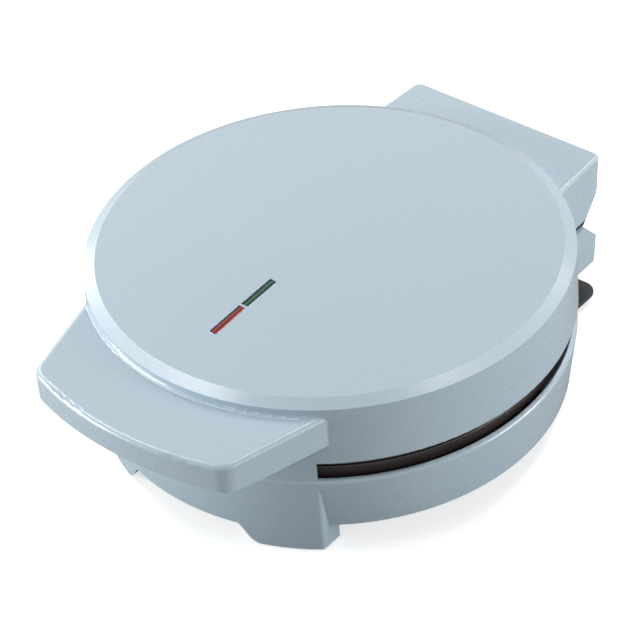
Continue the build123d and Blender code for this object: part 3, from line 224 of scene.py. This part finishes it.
def surface(name, colour, roughness, metallic=0.0, patch=0.03, patch_scale=18, grain_scale=900,
            grain_depth=0.00001, stretch=(1, 1, 1), specular=0.5, coat=0.0):
    """Procedural material: patches of colour, spread of roughness and a fine grain."""
    material, tree, shader = new_material(name)
    shader.inputs["Metallic"].default_value = metallic
    shader.inputs["Specular IOR Level"].default_value = specular
    shader.inputs["Coat Weight"].default_value = coat
    shader.inputs["Coat Roughness"].default_value = COAT_ROUGHNESS
    patches = noise(tree, patch_scale, 4, stretch)
    colour_out = tinted(tree, patches, shade(colour, 1 - patch), shade(colour, 1 + patch))
    tree.links.new(colour_out, shader.inputs["Base Color"])
    fine = noise(tree, grain_scale, 2, stretch)
    rough_out = spread(tree, fine, roughness - ROUGHNESS_SPREAD, roughness + ROUGHNESS_SPREAD)
    tree.links.new(rough_out, shader.inputs["Roughness"])
    bumped(tree, shader, fine, grain_depth)
    return material


def clear_plastic(name, colour, roughness):
    """Tinted see-through material with moulding streaks."""
    material, tree, shader = new_material(name)
    shader.inputs["Transmission Weight"].default_value = 0.35
    shader.inputs["IOR"].default_value = 1.49
    streaks = noise(tree, 260, 2, (1, 0.2, 1))
    colour_out = tinted(tree, streaks, shade(colour, 0.6), shade(colour, 1.7))
    tree.links.new(colour_out, shader.inputs["Base Color"])
    rough_out = spread(tree, streaks, roughness * 0.7, roughness * 1.6)
    tree.links.new(rough_out, shader.inputs["Roughness"])
    return material


def lens_plastic_with_painted_light(name, bands):
    """Dark clear plastic with light streaks along the lens painted in as reflections of the reflector
    trough, and its edges darkened as painted shadow of the slot.
    """
    material, tree, shader = new_material(name)
    place = tree.nodes.new("ShaderNodeTexCoord")
    split = tree.nodes.new("ShaderNodeSeparateXYZ")
    tree.links.new(place.outputs["Object"], split.inputs["Vector"])
    across = spread(tree, split.outputs["X"], 0, 1, -LENS_HALF_WIDTH, LENS_HALF_WIDTH)
    waver = spread(tree, noise(tree, 420, 2, (1, 0.25, 1)), -BAND_WAVER, BAND_WAVER)
    # Painted light: the ramp paints highlight streaks and dark slot-shadow edges into the lens colour
    colour_out = ramped(tree, combined(tree, "ADD", across, waver), bands)
    tree.links.new(colour_out, shader.inputs["Base Color"])
    shader.inputs["Specular IOR Level"].default_value = 0.3
    fine = noise(tree, 1500, 2)
    rough_out = spread(tree, fine, 0.14, 0.22)
    tree.links.new(rough_out, shader.inputs["Roughness"])
    bumped(tree, shader, fine, 0.000002)
    return material


def make_materials():
    """One procedural material for each of the record's slots."""
    return {
        "housing_plastic": surface("powder_blue_plastic", (0.478, 0.610, 0.700), roughness=0.27,
                                   patch=0.012, patch_scale=9, grain_scale=1500,
                                   grain_depth=0.0000015, specular=0.7, coat=0.9),
        "hinge_plastic": surface("black_plastic", (0.014, 0.014, 0.015), roughness=0.42, patch=0.2,
                                 grain_scale=1200, grain_depth=0.00002),
        "nonstick_plate": surface("nonstick_coat", (0.030, 0.022, 0.020), roughness=0.34, patch=0.45,
                                  patch_scale=40, grain_scale=900, grain_depth=0.00002,
                                  stretch=(1, 1, 22)),
        "reflector_aluminium": surface("reflector_sheet", (0.72, 0.72, 0.73), roughness=0.3,
                                       metallic=1.0, stretch=(1, 14, 1), grain_scale=300,
                                       grain_depth=0.00001),
        "element_steel": surface("element_tube", (0.24, 0.22, 0.2), roughness=0.42, metallic=1.0,
                                 patch=0.25, patch_scale=50, grain_scale=1500),
        "bracket_steel": surface("bracket_sheet", (0.56, 0.56, 0.57), roughness=0.34, metallic=1.0,
                                 stretch=(12, 1, 1), grain_scale=400),
        "fastener_steel": surface("screw_steel", (0.58, 0.58, 0.6), roughness=0.26, metallic=1.0,
                                  patch=0.08, patch_scale=300, grain_scale=3000,
                                  grain_depth=0.000006),
        "pin_steel": surface("pin_steel", (0.62, 0.62, 0.63), roughness=0.18, metallic=1.0,
                             stretch=(1, 12, 12), grain_scale=400, grain_depth=0.000006),
        "pad_rubber": surface("pad_rubber", (0.035, 0.035, 0.037), roughness=0.72, patch=0.15,
                              grain_scale=1400, grain_depth=0.00003),
        "bushing_rubber": surface("bushing_rubber", (0.02, 0.02, 0.021), roughness=0.66, patch=0.15,
                                  grain_scale=1400, grain_depth=0.00003),
        "green_lens": lens_plastic_with_painted_light("green_lens", GREEN_LENS_WITH_PAINTED_LIGHT),
        "red_lens": lens_plastic_with_painted_light("red_lens", RED_LENS_WITH_PAINTED_LIGHT),
        "lamp_glass": clear_plastic("lamp_glass", (0.8, 0.76, 0.68), roughness=0.05),
        "ceramic": surface("ceramic", (0.7, 0.66, 0.56), roughness=0.3, grain_scale=900),
        "fuse_sleeve": surface("fuse_sleeve", (0.66, 0.64, 0.56), roughness=0.8, stretch=(1, 3, 1),
                               grain_scale=1600, grain_depth=0.00005),
        "terminal_plastic": surface("terminal_plastic", (0.68, 0.67, 0.62), roughness=0.45,
                                    grain_scale=1300),
        "wire_insulation": surface("wire_insulation", (0.6, 0.57, 0.5), roughness=0.55,
                                   grain_scale=1500),
    }


def dress_nodes(materials):
    """Give every CAD node the material of its slot."""
    for row in frame["record"]["subparts"]:
        node = frame["nodes"][row["node"]]
        for slot in node.material_slots:
            slot.material = materials[row["material_slot"]]


# Pieces

def crown(y, drop):
    """Height of the lid's crown over a point of its middle line, less a drop."""
    return CROWN_HEIGHT - CROWN_RISE * ((y - BODY_Y) / CROWN_RADIUS) ** 2 - drop


def slot_ring(half_width, half_length, corner, middle):
    """Plan points of a rounded slot, anticlockwise from its right side near the rear."""
    points = []
    for quarter in range(4):
        side = 1 if quarter in (0, 3) else -1
        end = 1 if quarter in (0, 1) else -1
        for step in range(CORNER_STEPS + 1):
            angle = math.radians(90 * (quarter + step / CORNER_STEPS))
            points.append((side * (half_width - corner) + corner * math.cos(angle),
                           middle + end * (half_length - corner) + corner * math.sin(angle)))
    return points


def mesh_piece(name, vertices, faces, material, slot):
    """Smooth mesh piece that rides on the lid."""
    mesh = bpy.data.meshes.new(name)
    mesh.from_pydata(vertices, [], faces)
    mesh.update()
    mesh.shade_smooth()
    piece = bpy.data.objects.new(name, mesh)
    bpy.context.scene.collection.objects.link(piece)
    piece.data.materials.append(material)
    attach(piece, "lid")
    return piece


def loft(rings, closed=False):
    """Vertices and faces through rings of as many points each, capped at both ends unless closed."""
    count = len(rings[0])
    vertices = [point for ring in rings for point in ring]
    faces = []
    spans = len(rings) if closed else len(rings) - 1
    for row in range(spans):
        low, high = row * count, (row + 1) % len(rings) * count
        for column in range(count):
            after = (column + 1) % count
            faces.append((low + column, low + after, high + after, high + column))
    if not closed:
        faces.append(tuple(range(count))[::-1])
        faces.append(tuple(range(len(vertices) - count, len(vertices))))
    return vertices, faces


def add_lens(name, material):
    """Indicator lens with its flange under the lid's skin, rounded edges and a low crown."""
    middle = BODY_Y - LENS_REACHES[name]
    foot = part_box(name)[0][2]
    plan = slot_ring(LENS_HALF_WIDTH + FLANGE, LENS_HALF_LENGTH, LENS_CORNER, middle)
    rings = [[(x, y, foot) for x, y in plan]]
    for grow, drop in LENS_EDGE:
        length_grow = min(grow, 0)
        corner = max(LENS_CORNER + length_grow, LEAST_CORNER)
        plan = slot_ring(LENS_HALF_WIDTH + grow, LENS_HALF_LENGTH + length_grow, corner, middle)
        rings.append([(x, y, crown(y, drop)) for x, y in plan])
    piece = mesh_piece(f"{name}_cap", *loft(rings), material, LENS_SLOTS[name])
    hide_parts(name)


def add_slot_bead(name, material):
    """Fine raised bead round the slot that a lens sits in."""
    middle = BODY_Y - LENS_REACHES[name]
    rings = []
    for side in range(BEAD_SIDES):
        angle = math.radians(360 * side / BEAD_SIDES)
        grow = BEAD_GAP + BEAD_RADIUS * math.cos(angle)
        rise = BEAD_RADIUS * math.sin(angle)
        plan = slot_ring(LENS_HALF_WIDTH + grow, LENS_HALF_LENGTH + grow, LENS_CORNER + grow, middle)
        rings.append([(x, y, crown(y, BEAD_SINK) + rise) for x, y in plan])
    mesh_piece(f"{name}_bead", *loft(rings, closed=True), material, "housing_plastic")


def add_pieces(materials):
    """The lenses, and the beads of the slots that they sit in."""
    for name in LENS_REACHES:
        add_lens(name, materials[LENS_SLOTS[name]])
        add_slot_bead(name, materials["housing_plastic"])


# Studio

def area_light(name, place, along, size, power):
    """Softbox that faces the object, with its long side along a direction."""
    data = bpy.data.lights.new(name, "AREA")
    data.shape = "RECTANGLE"
    data.size, data.size_y = size
    data.energy = power
    light = bpy.data.objects.new(name, data)
    bpy.context.scene.collection.objects.link(light)
    back = (Vector(place) - LIGHT_TARGET).normalized()
    upright = back.cross(Vector(along)).normalized()
    turn = Matrix((upright.cross(back), upright, back)).transposed().to_4x4()
    light.matrix_world = Matrix.Translation(Vector(place)) @ turn


def light_studio():
    """Soft light from all round, two high strips that the shoulder shows, and two low softboxes."""
    world = bpy.data.worlds.new("studio")
    bpy.context.scene.world = world
    world.use_nodes = True
    tree = world.node_tree
    background = tree.nodes["Background"]
    background.inputs["Color"].default_value = (1, 1, 1, 1)
    paths = tree.nodes.new("ShaderNodeLightPath")
    seen = combined(tree, "MAXIMUM", paths.outputs["Is Camera Ray"],
                    paths.outputs["Is Transmission Ray"])
    shown = combined(tree, "MAXIMUM", seen, paths.outputs["Is Glossy Ray"])
    strength = spread(tree, shown, WORLD_LIGHT, WORLD_SEEN, 0, 1)
    tree.links.new(strength, background.inputs["Strength"])
    for softbox in SOFTBOXES:
        area_light(*softbox)


def lay_floor():
    """Pale floor that the camera sees as white, with only the object's shadow on it."""
    bpy.ops.mesh.primitive_plane_add(size=FLOOR_SIZE, location=(0, 0, FLOOR_LEVEL))
    floor = bpy.context.object
    floor.name = "floor"
    material, tree, shader = new_material("floor")
    shader.inputs["Roughness"].default_value = FLOOR_ROUGHNESS
    shader.inputs["Specular IOR Level"].default_value = FLOOR_SPECULAR
    paths = tree.nodes.new("ShaderNodeLightPath")
    grey = spread(tree, paths.outputs["Is Camera Ray"], FLOOR_LIT, FLOOR_SEEN, 0, 1)
    tree.links.new(grey, shader.inputs["Base Color"])
    place = tree.nodes.new("ShaderNodeTexCoord")
    away = tree.nodes.new("ShaderNodeVectorMath")
    away.operation = "LENGTH"
    tree.links.new(place.outputs["Object"], away.inputs[0])
    glow = spread(tree, away.outputs["Value"], GLOW_NEAR, GLOW_FAR, GLOW_START, GLOW_STOP)
    shown = combined(tree, "MULTIPLY", glow, paths.outputs["Is Camera Ray"])
    tree.links.new(shown, shader.inputs["Emission Strength"])
    shader.inputs["Emission Color"].default_value = (1, 1, 1, 1)
    floor.data.materials.append(material)


bpy.context.scene.view_settings.view_transform = "Standard"
aim_camera()
slot_materials = make_materials()
dress_nodes(slot_materials)
add_pieces(slot_materials)
light_studio()
lay_floor()
